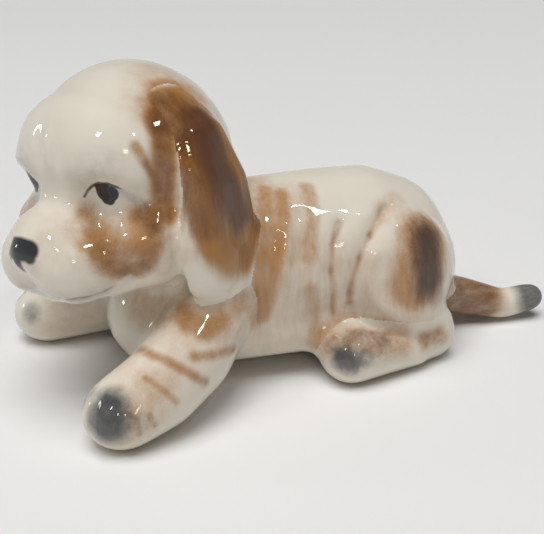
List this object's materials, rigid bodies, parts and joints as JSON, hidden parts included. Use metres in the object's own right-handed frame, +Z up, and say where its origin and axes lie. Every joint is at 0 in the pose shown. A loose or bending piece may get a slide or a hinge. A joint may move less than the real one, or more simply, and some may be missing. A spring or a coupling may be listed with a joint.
{
  "type": "dog figurine",
  "caption": "Glazed porcelain puppy crouching with its forelegs stretched out, its head turned to one side, long hanging ears and a straight tail; hand-painted tan, brown and grey on ivory.",
  "frame": {"origin": "on the table, under the middle of the figurine's bounding box", "axes": "+Z up; the puppy lies along Y with its nose towards -Y and its tail towards +Y; +X is its left side"},
  "size_m": [0.079, 0.1526, 0.0812],
  "materials": {
    "ivory_glaze": "clear glossy glaze over ivory porcelain, with airbrushed tan, brown and grey",
    "brown_glaze": "clear glossy glaze over brown brushwork",
    "tan_glaze": "clear glossy glaze over tan and grey brushwork"
  },
  "bodies": {
    "root": {"torso": "ivory_glaze", "head": "ivory_glaze", "left_ear": "brown_glaze", "right_ear": "brown_glaze", "left_foreleg": "ivory_glaze", "right_foreleg": "ivory_glaze", "left_hind_foot": "tan_glaze", "right_hind_foot": "tan_glaze", "tail": "brown_glaze"}
  },
  "joints": []
}
